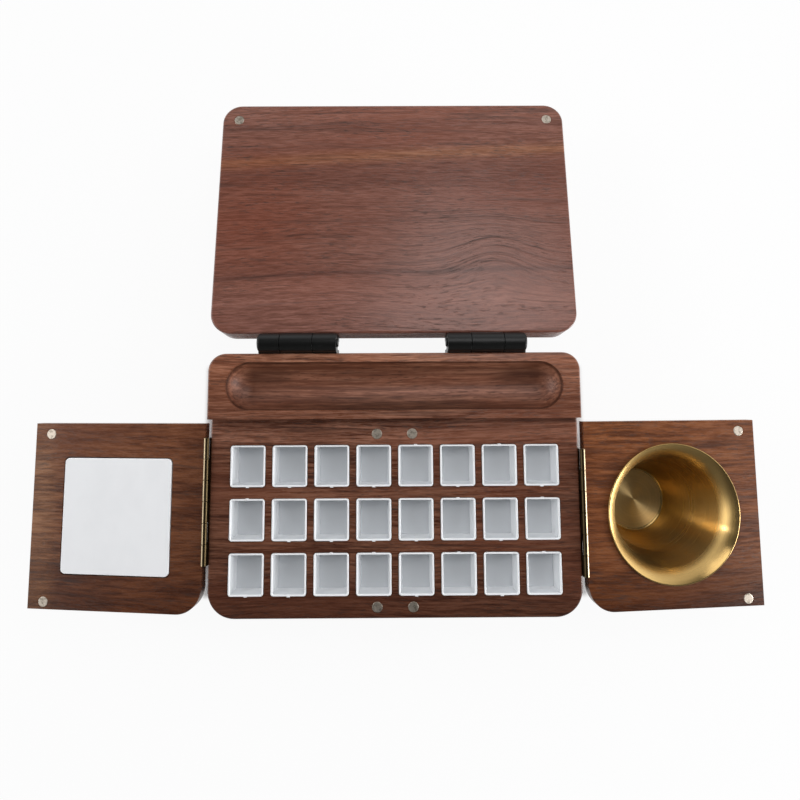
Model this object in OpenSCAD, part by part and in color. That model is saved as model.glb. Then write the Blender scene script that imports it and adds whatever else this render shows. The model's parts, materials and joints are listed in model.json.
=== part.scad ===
// Wooden watercolour palette box, shown open
// A walnut block holds half pans and a brush groove. A lid and two thin wings fold over it.
// All sizes in millimetres. The origin is the middle of the block's underside, Z up, lid to +Y.

/* [Block] */

// Wood between the outer pans and the block's sides
pan_side = 9.5; // [8.5:0.1:14]
// Wood between two pans of a row
pan_gap_x = 3.4; // [2.4:0.1:6]
// Wood between two rows of pans
pan_gap_y = 5.4; // [3:0.1:8]
// Wood between the front row and the block's front
front_strip = 10.1; // [9:0.1:14]
// Wood between the back row and the rail
back_strip = 12.4; // [11:0.1:16]
// Depth of the raised rail at the back
rail_d = 30; // [27:0.1:36]
// Gap between the hanging cup and the table
cup_table_gap = 1; // [0.5:0.1:10]
// Radius of the two front corners
front_r = 12.5; // [6:0.1:14]
// Radius of the two back corners
back_r = 8; // [3:0.1:12]
// Radius of the eased edges of block and lid
edge_r = 1; // [0.4:0.1:1.5]

/* [Brush groove] */

// Wood between the groove's ends and the block's sides
groove_end = 8; // [5:0.1:30]
// Radius of the groove's round section
groove_r = 11.2; // [9:0.1:11.8]
// Height of the groove's axis above the rail
groove_lift = 2.2; // [1:0.1:3]

/* [Half pans] */

// Width of a pan
pan_w = 16; // [14:0.1:20]
// Depth of a pan from front to back
pan_d = 18.9; // [16:0.1:30]
// Height of a pan
pan_h = 9.5; // [7:0.1:12]
// Height of a pan's rim above the deck
pan_proud = 0.4; // [0:0.05:0.4]
// Thickness of a pan's wall at the rim
pan_wall = 1; // [0.8:0.05:1.4]
// Thickness of a pan's floor
pan_floor = 1.2; // [0.8:0.1:2]
// How far each inner wall leans in towards the floor
pan_draft = 0.7; // [0.3:0.05:0.9]
// Outer corner radius of a pan
pan_r = 1.2; // [0.8:0.1:1.6]
// Inner corner radius of a pan at its rim
pan_inner_r = 1.5; // [1.2:0.1:2]
// Pans in a row
pan_cols = 8; // [8:1:8]
// Rows of pans
pan_rows = 3; // [3:1:3]
// Clearance between a pan and its pocket on each side
pan_clear = 0.2; // [0.15:0.05:0.3]

/* [Wings] */

// Thickness of a wing
wing_t = 4.4; // [4.2:0.1:6]
// Gap between a closed wing and the deck
wing_gap = 2; // [2:0.1:3]
// Distance of the wing's hinge axis from the block's side
wing_axis_out = 1.45; // [1.4:0.05:2]
// Seam between the two closed wings
wing_seam = 1; // [0.6:0.1:2]
// Gap between a wing's back edge and the rail
wing_back_gap = 2.2; // [1:0.1:4]
// Setback of a wing's front edge from the block's front
wing_front_set = 1.8; // [0.5:0.1:3]
// Radius of the wing's corner beside the block's front corner
wing_front_r = 12; // [6:0.1:14]
// How far the open left wing hangs below level, in degrees
left_droop = 6.3; // [3:0.1:6.5]
// How far the open right wing hangs below level, in degrees
right_droop = 5.2; // [3:0.1:5.6]

/* [Mixing plate] */

// Side of the square plate
plate_size = 54; // [40:0.1:64]
// Corner radius of the plate
plate_r = 2.3; // [1:0.1:6]
// Thickness of the plate
plate_t = 2.4; // [1.6:0.1:3]
// Height of the plate above the wing's face
plate_proud = 0.3; // [0:0.05:0.6]
// Clearance round the plate
plate_clear = 0.2; // [0.1:0.05:0.4]

/* [Water cup] */

// Radius of the cup's rim
cup_rim_r = 32.2; // [30:0.1:33]
// Depth of the cup inside
cup_depth = 36; // [26:0.1:45]
// Radius of the cup's floor
cup_floor_r = 16.2; // [12:0.1:18]
// Wall thickness of the cup
cup_wall = 0.9; // [0.7:0.05:1.1]
// Radius of the trumpet flare, seen in section
cup_flare_r = 13; // [10:0.1:15]
// Slope of the flare at the rim, from upright, in degrees
cup_flare_end = 62; // [56:1:66]
// Height of the cup's rim above the wing's face
cup_lip = 1.3; // [1:0.05:1.3]
// Clearance between the flare and its seat in the wing
cup_clear = 0.2; // [0.15:0.05:0.3]

/* [Lid] */

// Thickness of the lid
lid_t = 13; // [12:0.1:18]
// Setback of the closed lid's front edge from the block's front
lid_front_set = 2; // [0:0.1:4]
// Corner radius of the lid
lid_r = 9.5; // [4:0.1:12]
// Gap between the closed lid and the rail
lid_gap = 0.4; // [0.4:0.05:1]
// How far the open lid hangs below level, in degrees
lid_droop = 6.1; // [2:0.1:7]

/* [Magnets] */

// Diameter of a disc magnet
magnet_d = 4.8; // [3:0.1:5.4]
// Thickness of a disc magnet
magnet_h = 2; // [1.5:0.1:3]
// Clearance round a magnet in its bore
magnet_clear = 0.05; // [0.02:0.01:0.1]
// Distance of the deck's magnets from its middle line
magnet_x = 8.2; // [6:0.1:12]
// Distance of the lid's magnets from its edges
lid_magnet_set = 8.2; // [6:0.1:12]

/* [Lid hinges] */

// Middle of the left hinge, in from the block's left side
lid_hinge_left = 41; // [30:0.1:50]
// Middle of the right hinge, in from the block's right side
lid_hinge_right = 42.9; // [30:0.1:50]
// Length of the knuckle at the hinge's outer end
lid_knuckle_outer = 10.3; // [8:0.1:12]
// Length of the knuckle in the hinge's middle
lid_knuckle_middle = 14.9; // [12:0.1:18]
// Length of the knuckle at the hinge's inner end
lid_knuckle_inner = 10.8; // [8:0.1:14]
// Radius of the barrel
lid_barrel_r = 4.4; // [4:0.05:4.6]
// Radius of the rounding at the barrel's outer end
lid_barrel_round = 1.3; // [0.5:0.1:2]
// Thickness of a leaf
lid_leaf_t = 2; // [1.8:0.1:2.4]
// Height of a leaf
lid_leaf_h = 11; // [10:0.1:11.6]
// Radius of the pin
lid_pin_r = 2; // [1.5:0.1:2.4]
// How far the pin stands out at the hinge's inner end
lid_pin_out = 0.8; // [0.4:0.1:2]
// Radius of a screw's shank
lid_screw_r = 1.2; // [1:0.1:1.4]
// Radius of a countersunk screw head
lid_screw_head_r = 2.4; // [2:0.1:2.6]
// Length of a screw
lid_screw_len = 8; // [6:0.5:9]
// Spacing of the two screws in a leaf
lid_screw_gap = 24; // [18:0.5:28]

/* [Wing hinges] */

// Length of a piano hinge
wing_hinge_len = 57.5; // [48:0.1:66]
// Middle of the left hinge, behind the wing's middle
wing_hinge_left = 7.8; // [2:0.1:8]
// Middle of the right hinge, behind the wing's middle
wing_hinge_right = 1.9; // [1:0.1:8]
// Knuckles in a hinge, shared by the two leaves
wing_knuckles = 6; // [4:2:8]
// Radius of the barrel
wing_barrel_r = 1.2; // [1.1:0.05:1.25]
// Thickness of a leaf
wing_leaf_t = 0.5; // [0.4:0.05:0.6]
// Height of a leaf
wing_leaf_h = 4.2; // [4:0.1:4.8]
// Radius of the pin
wing_pin_r = 0.5; // [0.4:0.05:0.6]
// Screws in a leaf
wing_screws = 3; // [2:1:4]
// Radius of a screw's shank
wing_screw_r = 0.5; // [0.4:0.05:0.6]
// Radius of a round screw head
wing_screw_head_r = 1; // [0.8:0.05:1.1]
// Height of a round screw head
wing_screw_head_h = 0.65; // [0.4:0.05:0.65]
// Length of a screw under its head
wing_screw_len = 7; // [5:0.5:10]

/* [Fits] */

// Running clearance of a hinge pin in the moving knuckles
pin_clear = 0.05; // [0.02:0.01:0.1]
// Gap between knuckles that turn past each other
knuckle_gap = 0.3; // [0.2:0.05:0.4]
// Gap between a leaf and the barrel that turns beside it
leaf_gap = 0.3; // [0.2:0.05:0.4]

/* [Hidden] */

$fn = 64;
// Small overshoot of a cutting shape
cut = 1;

pan_pitch_x = pan_w + pan_gap_x;
pan_pitch_y = pan_d + pan_gap_y;
base_w = pan_cols * pan_pitch_x - pan_gap_x + 2 * pan_side;
base_d = front_strip + pan_rows * pan_pitch_y - pan_gap_y + back_strip + rail_d;
rail_front = base_d / 2 - rail_d;
rail_mid = base_d / 2 - rail_d / 2;
deck_front = -base_d / 2;
pan_row_y = deck_front + front_strip + (pan_rows * pan_pitch_y - pan_gap_y) / 2;

wing_axis_x = base_w / 2 + wing_axis_out;
wing_w = base_w / 2 - wing_seam / 2;
wing_back = rail_front - wing_back_gap;
wing_front = deck_front + wing_front_set;
wing_d = wing_back - wing_front;
wing_face = -wing_gap / 2;
wing_mid_x = wing_axis_out + wing_w / 2;
wing_mid_y = (wing_back + wing_front) / 2;
wing_pitch = wing_hinge_len / wing_knuckles;
wing_screw_z = wing_face - wing_t / 2 + 0.3;
left_hinge_y = wing_mid_y + wing_hinge_left;
right_hinge_y = wing_mid_y + wing_hinge_right;

// Section of the cup: centre of the flare and lean of the straight wall that meets it
flare_x = cup_rim_r + cup_flare_r * cos(cup_flare_end);
flare_z = -cup_flare_r * sin(cup_flare_end);
flare_reach = norm([flare_x - cup_floor_r, flare_z + cup_depth]);
cup_lean = atan2(flare_x - cup_floor_r, flare_z + cup_depth) - asin(cup_flare_r / flare_reach);
cup_foot_r = cup_floor_r + cup_wall / cos(cup_lean) - cup_wall * tan(cup_lean);
cup_top = wing_face + cup_lip;

// The deck is as high as the cup on the hanging right wing needs
cup_drop = (wing_mid_x + cup_foot_r) * sin(right_droop) + (cup_depth + cup_wall - cup_top) * cos(right_droop);
deck_h = cup_table_gap + cup_drop - wing_gap / 2;
rail_top = deck_h + wing_gap + wing_t;
wing_axis_z = deck_h + wing_gap / 2;
pan_base_z = deck_h + pan_proud - pan_h;
groove_len = base_w - 2 * groove_end;

magnet_back_y = (rail_front - back_strip + wing_back) / 2;
magnet_front_y = deck_front + front_strip / 2;
wing_magnet_x = wing_axis_x - magnet_x;

lid_w = base_w;
lid_d = base_d - lid_front_set;
lid_axis_out = lid_barrel_r + leaf_gap;
lid_axis_y = base_d / 2 + lid_axis_out;
lid_axis_z = rail_top + lid_gap / 2;
lid_face = -lid_gap / 2;
lid_magnet_x = lid_w / 2 - lid_magnet_set;
lid_magnet_y = lid_axis_out + lid_d - lid_magnet_set;
lid_hinge_len = lid_knuckle_outer + lid_knuckle_middle + lid_knuckle_inner;
lid_leaf_top = -leaf_gap / 2;
lid_screw_z = -(lid_barrel_r + leaf_gap + lid_leaf_h) / 2;
lid_screw_cone = lid_screw_head_r - lid_screw_r;
// Places along a lid hinge where the middle knuckle begins and ends
middle_from = lid_hinge_len / 2 - lid_knuckle_outer - lid_knuckle_middle;
middle_to = lid_hinge_len / 2 - lid_knuckle_outer;

// Where the closed lid's magnets come down on a wing's back
catch_x = wing_axis_x - lid_magnet_x;
catch_y = lid_axis_y - lid_magnet_y;

// Colours of the preview
walnut = [0.40, 0.26, 0.17];
walnut_dark = [0.33, 0.21, 0.14];
brass = [0.80, 0.63, 0.33];
nickel = [0.75, 0.75, 0.76];
black_metal = [0.07, 0.07, 0.08];
white_plastic = [0.93, 0.93, 0.92];

PANS = [for (i = [1:pan_cols * pan_rows]) str("pan_", i)];

// Frames of the moving boards, each with its origin on the hinge axis and its inner face up

// Frame of the open right wing: X away from the block
module on_right_wing() {
    translate([wing_axis_x, 0, wing_axis_z])
        rotate([0, right_droop, 0])
            children();
}

// Frame of the open left wing: X away from the block
module on_left_wing() {
    mirror([1, 0, 0])
        translate([wing_axis_x, 0, wing_axis_z])
            rotate([0, left_droop, 0])
                children();
}

// Frame of the block beside a wing hinge: X towards the block
module on_right_side() {
    translate([wing_axis_x, 0, wing_axis_z])
        mirror([1, 0, 0])
            children();
}

// The same frame at the block's left side
module on_left_side() {
    translate([-wing_axis_x, 0, wing_axis_z])
        children();
}

// Frame of the open lid: Y away from the block
module on_lid() {
    translate([0, lid_axis_y, lid_axis_z])
        rotate([-lid_droop, 0, 0])
            children();
}

// Frame of the block behind the rail: Y towards the block
module on_rail() {
    translate([0, lid_axis_y, lid_axis_z])
        mirror([0, 1, 0])
            children();
}

// Shapes used more than once

// Rectangle with one radius for its front corners and another for its back corners
module board(w, d, r_front, r_back) {
    translate([-w / 2, -d / 2 + r_front])
        square([w, d - r_front - r_back]);
    translate([-w / 2 + r_front, -d / 2])
        square([w - 2 * r_front, r_front + cut]);
    translate([-w / 2 + r_back, d / 2 - r_back - cut])
        square([w - 2 * r_back, r_back + cut]);
    for (side = [-1, 1]) {
        translate([side * (w / 2 - r_front), -d / 2 + r_front])
            circle(r_front);
        translate([side * (w / 2 - r_back), d / 2 - r_back])
            circle(r_back);
    }
}

// Board with rounded corners and eased edges, standing on height zero
module eased_board(w, d, r_front, r_back, t) {
    r_most = max(r_front, r_back);
    translate([0, d / 2 - r_back, t / 2])
        rotate([90, 0, 0])
            linear_extrude(d - r_front - r_back)
                board(w, t, edge_r, edge_r);
    for (end = [[-1, r_front], [1, r_back]]) {
        side_y = end[0] * (d / 2 - r_most);
        across = w - 2 * end[1];
        translate([-across / 2, side_y, t / 2])
            rotate([90, 0, 90])
                linear_extrude(across)
                    board(2 * r_most, t, edge_r, edge_r);
        for (side = [-1, 1])
            translate([side * across / 2, end[0] * (d / 2 - end[1]), t / 2])
                rotate_extrude()
                    intersection() {
                        board(2 * end[1], t, edge_r, edge_r);
                        translate([0, -t])
                            square([end[1], 2 * t]);
                    }
    }
}

// Disc magnet with its visible face at height zero
module magnet() {
    translate([0, 0, -magnet_h])
        cylinder(d = magnet_d, h = magnet_h);
}

// Bore for a disc magnet
module magnet_bore() {
    translate([0, 0, -magnet_h])
        cylinder(d = magnet_d + 2 * magnet_clear, h = magnet_h + cut);
}

// Puts a child at the four deck magnets
module at_deck_magnets() {
    for (x = [-magnet_x, magnet_x], y = [magnet_back_y, magnet_front_y])
        translate([x, y, deck_h])
            children();
}

// Puts a child at a wing's two face magnets
module at_wing_magnets() {
    for (y = [magnet_back_y, magnet_front_y])
        translate([wing_magnet_x, y, wing_face])
            children();
}

// Puts a child at the catch magnet in a wing's back
module at_catch() {
    translate([catch_x, catch_y, wing_face - wing_t])
        mirror([0, 0, 1])
            children();
}

// Puts a child at the lid's two magnets
module at_lid_magnets() {
    for (side = [-1, 1])
        translate([side * lid_magnet_x, lid_magnet_y, lid_face])
            children();
}

// Centre of a pan, counted from 1 along the back row
function pan_x(i) = ((i - 1) % pan_cols - (pan_cols - 1) / 2) * pan_pitch_x;
function pan_y(i) = pan_row_y + ((pan_rows - 1) / 2 - floor((i - 1) / pan_cols)) * pan_pitch_y;

// Wing hinge, in the frame of one board: the board's edge lies at X = wing_axis_out

// Knuckles first, first + 2, ... along a wing hinge, centred on the frame's origin
module wing_knuckle_row(first, r, gap) {
    for (i = [first:2:wing_knuckles - 1])
        translate([0, -wing_hinge_len / 2 + i * wing_pitch + gap / 2, 0])
            rotate([-90, 0, 0])
                cylinder(r = r, h = wing_pitch - gap);
}

// Puts a child at each screw of a wing leaf, along the screw
module at_wing_screws() {
    for (i = [0:wing_screws - 1])
        translate([wing_axis_out - wing_leaf_t,
                   (i - (wing_screws - 1) / 2) * 2 * wing_pitch, wing_screw_z])
            rotate([0, 90, 0])
                children();
}

// Leaf of a wing hinge with its share of the knuckles
module wing_leaf(first, bore_r) {
    other = 1 - first;
    difference() {
        union() {
            difference() {
                translate([wing_axis_out - wing_leaf_t, -wing_hinge_len / 2, -wing_leaf_h])
                    cube([wing_leaf_t, wing_hinge_len, wing_leaf_h - leaf_gap / 2]);
                wing_knuckle_row(other, wing_barrel_r + leaf_gap, -knuckle_gap);
            }
            wing_knuckle_row(first, wing_barrel_r, knuckle_gap);
            for (i = [first:2:wing_knuckles - 1])
                translate([0, -wing_hinge_len / 2 + i * wing_pitch + knuckle_gap / 2, -wing_barrel_r])
                    cube([wing_axis_out, wing_pitch - knuckle_gap, wing_barrel_r - leaf_gap / 2]);
        }
        translate([0, -wing_hinge_len / 2 - cut, 0])
            rotate([-90, 0, 0])
                cylinder(r = bore_r, h = wing_hinge_len + 2 * cut);
        at_wing_screws()
            cylinder(r = wing_screw_r, h = wing_leaf_t + cut);
    }
}

// Pin of a wing hinge
module wing_pin() {
    translate([0, -wing_hinge_len / 2, 0])
        rotate([-90, 0, 0])
            cylinder(r = wing_pin_r, h = wing_hinge_len);
}

// Round-head screw, head on the near side of height zero
module round_screw() {
    dome_r = (pow(wing_screw_head_r, 2) + pow(wing_screw_head_h, 2)) / (2 * wing_screw_head_h);
    cylinder(r = wing_screw_r, h = wing_screw_len);
    difference() {
        translate([0, 0, dome_r - wing_screw_head_h])
            sphere(dome_r);
        translate([-2 * dome_r, -2 * dome_r, 0])
            cube(4 * dome_r);
    }
}

// Holes of a wing hinge's screws in wood
module wing_screw_holes() {
    at_wing_screws()
        cylinder(r = wing_screw_r, h = wing_screw_len);
}

// Lid hinge, in the frame of one board: the board's edge lies at Y = lid_axis_out, X outwards

// Knuckle of a lid hinge between two places along it, with the block that joins it to its leaf
module lid_knuckle(from, to) {
    translate([from, 0, 0])
        rotate([0, 90, 0])
            cylinder(r = lid_barrel_r, h = to - from);
    translate([from, 0, -lid_barrel_r])
        cube([to - from, lid_axis_out, lid_barrel_r + lid_leaf_top]);
}

// Rounded end of the barrel, beyond a place along it
module lid_barrel_end(from) {
    inner_r = lid_barrel_r - lid_barrel_round;
    translate([from, 0, 0])
        rotate([0, 90, 0])
            rotate_extrude() {
                square([inner_r, lid_barrel_round]);
                translate([inner_r, 0])
                    intersection() {
                        circle(lid_barrel_round);
                        square(lid_barrel_round);
                    }
            }
}

// Notch in a leaf's plate for a knuckle of the other leaf
module lid_notch(from, to) {
    translate([from - knuckle_gap / 2, 0, -lid_barrel_r - leaf_gap])
        cube([to - from + knuckle_gap, lid_axis_out + cut, lid_barrel_r + leaf_gap + cut]);
}

// Flat plate of a lid leaf
module lid_leaf_plate() {
    translate([-lid_hinge_len / 2, lid_axis_out - lid_leaf_t, -lid_leaf_h])
        cube([lid_hinge_len, lid_leaf_t, lid_leaf_h + lid_leaf_top]);
}

// Puts a child at each screw of a lid leaf, along the screw
module at_lid_screws() {
    for (side = [-1, 1])
        translate([side * lid_screw_gap / 2, lid_axis_out - lid_leaf_t, lid_screw_z])
            rotate([-90, 0, 0])
                children();
}

// Countersunk screw with its head's face at height zero
module sunk_screw() {
    cylinder(r1 = lid_screw_head_r, r2 = lid_screw_r, h = lid_screw_cone);
    cylinder(r = lid_screw_r, h = lid_screw_len);
}

// Bore along a lid hinge
module lid_pin_bore(r) {
    translate([-lid_hinge_len / 2 - cut, 0, 0])
        rotate([0, 90, 0])
            cylinder(r = r, h = lid_hinge_len + 2 * cut);
}

// Leaf screwed to the rail: the two end knuckles
module rail_leaf() {
    difference() {
        union() {
            difference() {
                lid_leaf_plate();
                lid_notch(middle_from, middle_to);
            }
            lid_knuckle(-lid_hinge_len / 2, middle_from - knuckle_gap / 2);
            lid_knuckle(middle_to + knuckle_gap / 2, lid_hinge_len / 2 - lid_barrel_round);
            lid_barrel_end(lid_hinge_len / 2 - lid_barrel_round);
        }
        lid_pin_bore(lid_pin_r);
        at_lid_screws()
            sunk_screw();
    }
}

// Leaf screwed to the lid: the middle knuckle
module lid_leaf() {
    difference() {
        union() {
            difference() {
                lid_leaf_plate();
                lid_notch(-lid_hinge_len / 2 - cut, middle_from);
                lid_notch(middle_to, lid_hinge_len / 2 + cut);
            }
            lid_knuckle(middle_from + knuckle_gap / 2, middle_to - knuckle_gap / 2);
        }
        lid_pin_bore(lid_pin_r + pin_clear);
        at_lid_screws()
            sunk_screw();
    }
}

// Pin of a lid hinge, standing out at the inner end
module lid_pin() {
    translate([-lid_hinge_len / 2 - lid_pin_out, 0, 0])
        rotate([0, 90, 0])
            cylinder(r = lid_pin_r, h = lid_hinge_len + lid_pin_out);
}

// Puts a child at the left lid hinge, its outer end to the left
module at_left_hinge() {
    translate([-base_w / 2 + lid_hinge_left, 0, 0])
        mirror([1, 0, 0])
            children();
}

// Puts a child at the right lid hinge, its outer end to the right
module at_right_hinge() {
    translate([base_w / 2 - lid_hinge_right, 0, 0])
        children();
}

// Puts a child at both lid hinges
module at_lid_hinges() {
    at_left_hinge()
        children();
    at_right_hinge()
        children();
}

// Wooden boards

// Block with deck, rail, brush groove and pan pockets
module base() {
    color(walnut_dark)
        difference() {
            block();
            groove();
            for (i = [1:pan_cols * pan_rows])
                translate([pan_x(i), pan_y(i), pan_base_z])
                    linear_extrude(pan_h)
                        board(pan_w + 2 * pan_clear, pan_d + 2 * pan_clear,
                              pan_r + pan_clear, pan_r + pan_clear);
            at_deck_magnets()
                magnet_bore();
            on_left_side()
                translate([0, left_hinge_y, 0])
                    wing_screw_holes();
            on_right_side()
                translate([0, right_hinge_y, 0])
                    wing_screw_holes();
            on_rail()
                at_lid_hinges()
                    at_lid_screws()
                        cylinder(r = lid_screw_r, h = lid_screw_len);
        }
}

// Block before it is carved: a low front part and a high rail, both with eased edges
module block() {
    intersection() {
        eased_board(base_w, base_d, front_r, back_r, deck_h);
        translate([-base_w, deck_front - cut, -cut])
            cube([2 * base_w, rail_front - deck_front + cut, rail_top + 2 * cut]);
    }
    intersection() {
        eased_board(base_w, base_d, front_r, back_r, rail_top);
        translate([-base_w, rail_front, -cut])
            cube([2 * base_w, rail_d + cut, rail_top + 2 * cut]);
    }
}

// Groove for brushes: a round bottom with round ends
module groove() {
    half_open = sqrt(pow(groove_r, 2) - pow(groove_lift, 2));
    run = groove_len - 2 * half_open;
    translate([-run / 2, rail_mid, rail_top + groove_lift])
        rotate([0, 90, 0])
            cylinder(r = groove_r, h = run);
    for (side = [-1, 1])
        translate([side * run / 2, rail_mid, rail_top + groove_lift])
            sphere(groove_r);
}

// Lid board
module lid() {
    color(walnut)
        on_lid()
            difference() {
                translate([0, lid_axis_out + lid_d / 2, lid_face - lid_t])
                    eased_board(lid_w, lid_d, lid_r, lid_r, lid_t);
                at_lid_magnets()
                    magnet_bore();
                at_lid_hinges()
                    at_lid_screws()
                        cylinder(r = lid_screw_r, h = lid_screw_len);
            }
}

// Outline of a wing, round only at its front corner beside the block
module wing_outline() {
    translate([wing_axis_out, wing_front + wing_front_r])
        square([wing_w, wing_d - wing_front_r]);
    translate([wing_axis_out + wing_front_r, wing_front])
        square([wing_w - wing_front_r, wing_front_r + cut]);
    translate([wing_axis_out + wing_front_r, wing_front + wing_front_r])
        circle(wing_front_r);
}

// Wing board with its magnet bores and hinge screw holes
module wing_board(hinge_y) {
    difference() {
        translate([0, 0, wing_face - wing_t])
            linear_extrude(wing_t)
                wing_outline();
        at_wing_magnets()
            magnet_bore();
        at_catch()
            magnet_bore();
        translate([0, hinge_y, 0])
            wing_screw_holes();
    }
}

// Left wing with the recess of the mixing plate
module left_wing() {
    recess = plate_size + 2 * plate_clear;
    color(walnut)
        on_left_wing()
            difference() {
                wing_board(left_hinge_y);
                translate([wing_mid_x, wing_mid_y, wing_face + plate_proud - plate_t])
                    linear_extrude(plate_t)
                        board(recess, recess, plate_r + plate_clear, plate_r + plate_clear);
            }
}

// Right wing with the flared seat of the cup
module right_wing() {
    color(walnut)
        on_right_wing()
            difference() {
                wing_board(right_hinge_y);
                translate([wing_mid_x, wing_mid_y, cup_top])
                    rotate_extrude()
                        cup_seat_section();
            }
}

// Section of the hole that the cup hangs in: the flare's underside, set off by the clearance
module cup_seat_section() {
    seat_r = cup_flare_r - cup_wall - cup_clear;
    difference() {
        translate([0, -cup_lip - wing_t - cut])
            square([flare_x, cup_lip + wing_t + 2 * cut]);
        translate([flare_x, flare_z])
            circle(seat_r);
        translate([flare_x - seat_r * cos(cup_lean), -cup_depth])
            square([flare_x, cup_depth + flare_z]);
    }
}

// Loose and inset pieces

// Half pan with leaning inner walls
module pan(i) {
    inner_w = pan_w - 2 * pan_wall;
    inner_d = pan_d - 2 * pan_wall;
    color(white_plastic)
        translate([pan_x(i), pan_y(i), pan_base_z])
            difference() {
                linear_extrude(pan_h)
                    board(pan_w, pan_d, pan_r, pan_r);
                translate([0, 0, pan_floor])
                    pan_well(inner_w, inner_d, pan_h - pan_floor);
            }
}

// Hollow of a pan: two leaning troughs that cross, and a cone in each corner
module pan_well(w, d, h) {
    pan_trough(w, d - 2 * pan_inner_r, h);
    rotate(90)
        pan_trough(d, w - 2 * pan_inner_r, h);
    for (x = [-1, 1], y = [-1, 1])
        translate([x * (w / 2 - pan_inner_r), y * (d / 2 - pan_inner_r), 0])
            cylinder(r1 = pan_inner_r - pan_draft, r2 = pan_inner_r, h = h);
}

// Trough with two leaning sides, w wide at its top
module pan_trough(w, length, h) {
    translate([0, length / 2, 0])
        rotate([90, 0, 0])
            linear_extrude(length)
                polygon([[-w / 2 + pan_draft, 0], [w / 2 - pan_draft, 0],
                         [w / 2, h], [w / 2, h + cut], [-w / 2, h + cut], [-w / 2, h]]);
}

// Square mixing plate bonded into the left wing
module mixing_plate() {
    color(white_plastic)
        on_left_wing()
            translate([wing_mid_x, wing_mid_y, wing_face + plate_proud - plate_t])
                linear_extrude(plate_t)
                    board(plate_size, plate_size, plate_r, plate_r);
}

// Spun water cup hanging in the right wing
module cup() {
    color(brass)
        on_right_wing()
            translate([wing_mid_x, wing_mid_y, cup_top])
                rotate_extrude()
                    cup_section();
}

// Section of the cup's wall: floor, straight lean, trumpet flare and rounded rim
module cup_section() {
    rim_r = cup_flare_r - cup_wall / 2;
    difference() {
        cup_outside(cup_wall);
        cup_outside(0);
    }
    translate([flare_x - rim_r * cos(cup_flare_end), flare_z + rim_r * sin(cup_flare_end)])
        circle(cup_wall / 2);
}

// Area inside the cup's section, grown outwards by a wall
module cup_outside(wall) {
    centre = [flare_x, flare_z];
    arc_r = cup_flare_r - wall;
    foot_x = wall > 0 ? cup_foot_r : cup_floor_r;
    beyond = centre + 2 * cup_flare_r * [-cos(cup_flare_end), sin(cup_flare_end)];
    difference() {
        polygon([[0, -cup_depth - wall], [foot_x, -cup_depth - wall],
                 centre + arc_r * [-cos(cup_lean), sin(cup_lean)], centre, beyond, [0, beyond[1]]]);
        translate(centre)
            circle(arc_r);
    }
}

// Magnets

module deck_magnets() {
    color(nickel)
        at_deck_magnets()
            magnet();
}

module lid_magnets() {
    color(nickel)
        on_lid()
            at_lid_magnets()
                magnet();
}

module left_wing_magnets() {
    color(nickel)
        on_left_wing()
            at_wing_magnets()
                magnet();
}

module right_wing_magnets() {
    color(nickel)
        on_right_wing()
            at_wing_magnets()
                magnet();
}

module left_wing_catch_magnet() {
    color(nickel)
        on_left_wing()
            at_catch()
                magnet();
}

module right_wing_catch_magnet() {
    color(nickel)
        on_right_wing()
            at_catch()
                magnet();
}

// Lid hinges, two alike

module left_lid_hinge_base_leaf() {
    color(black_metal)
        on_rail()
            at_left_hinge()
                rail_leaf();
}

module left_lid_hinge_lid_leaf() {
    color(black_metal)
        on_lid()
            at_left_hinge()
                lid_leaf();
}

module left_lid_hinge_pin() {
    color(black_metal)
        on_rail()
            at_left_hinge()
                lid_pin();
}

module right_lid_hinge_base_leaf() {
    color(black_metal)
        on_rail()
            at_right_hinge()
                rail_leaf();
}

module right_lid_hinge_lid_leaf() {
    color(black_metal)
        on_lid()
            at_right_hinge()
                lid_leaf();
}

module right_lid_hinge_pin() {
    color(black_metal)
        on_rail()
            at_right_hinge()
                lid_pin();
}

module lid_hinge_base_screws() {
    color(black_metal)
        on_rail()
            at_lid_hinges()
                at_lid_screws()
                    sunk_screw();
}

module lid_hinge_lid_screws() {
    color(black_metal)
        on_lid()
            at_lid_hinges()
                at_lid_screws()
                    sunk_screw();
}

// Wing hinges, two alike

module left_wing_hinge_base_leaf() {
    color(brass)
        on_left_side()
            translate([0, left_hinge_y, 0])
                wing_leaf(0, wing_pin_r);
}

module left_wing_hinge_wing_leaf() {
    color(brass)
        on_left_wing()
            translate([0, left_hinge_y, 0])
                wing_leaf(1, wing_pin_r + pin_clear);
}

module left_wing_hinge_pin() {
    color(brass)
        on_left_side()
            translate([0, left_hinge_y, 0])
                wing_pin();
}

module right_wing_hinge_base_leaf() {
    color(brass)
        on_right_side()
            translate([0, right_hinge_y, 0])
                wing_leaf(0, wing_pin_r);
}

module right_wing_hinge_wing_leaf() {
    color(brass)
        on_right_wing()
            translate([0, right_hinge_y, 0])
                wing_leaf(1, wing_pin_r + pin_clear);
}

module right_wing_hinge_pin() {
    color(brass)
        on_right_side()
            translate([0, right_hinge_y, 0])
                wing_pin();
}

module left_wing_hinge_base_screws() {
    color(brass)
        on_left_side()
            translate([0, left_hinge_y, 0])
                at_wing_screws()
                    round_screw();
}

module left_wing_hinge_wing_screws() {
    color(brass)
        on_left_wing()
            translate([0, left_hinge_y, 0])
                at_wing_screws()
                    round_screw();
}

module right_wing_hinge_base_screws() {
    color(brass)
        on_right_side()
            translate([0, right_hinge_y, 0])
                at_wing_screws()
                    round_screw();
}

module right_wing_hinge_wing_screws() {
    color(brass)
        on_right_wing()
            translate([0, right_hinge_y, 0])
                at_wing_screws()
                    round_screw();
}

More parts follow.
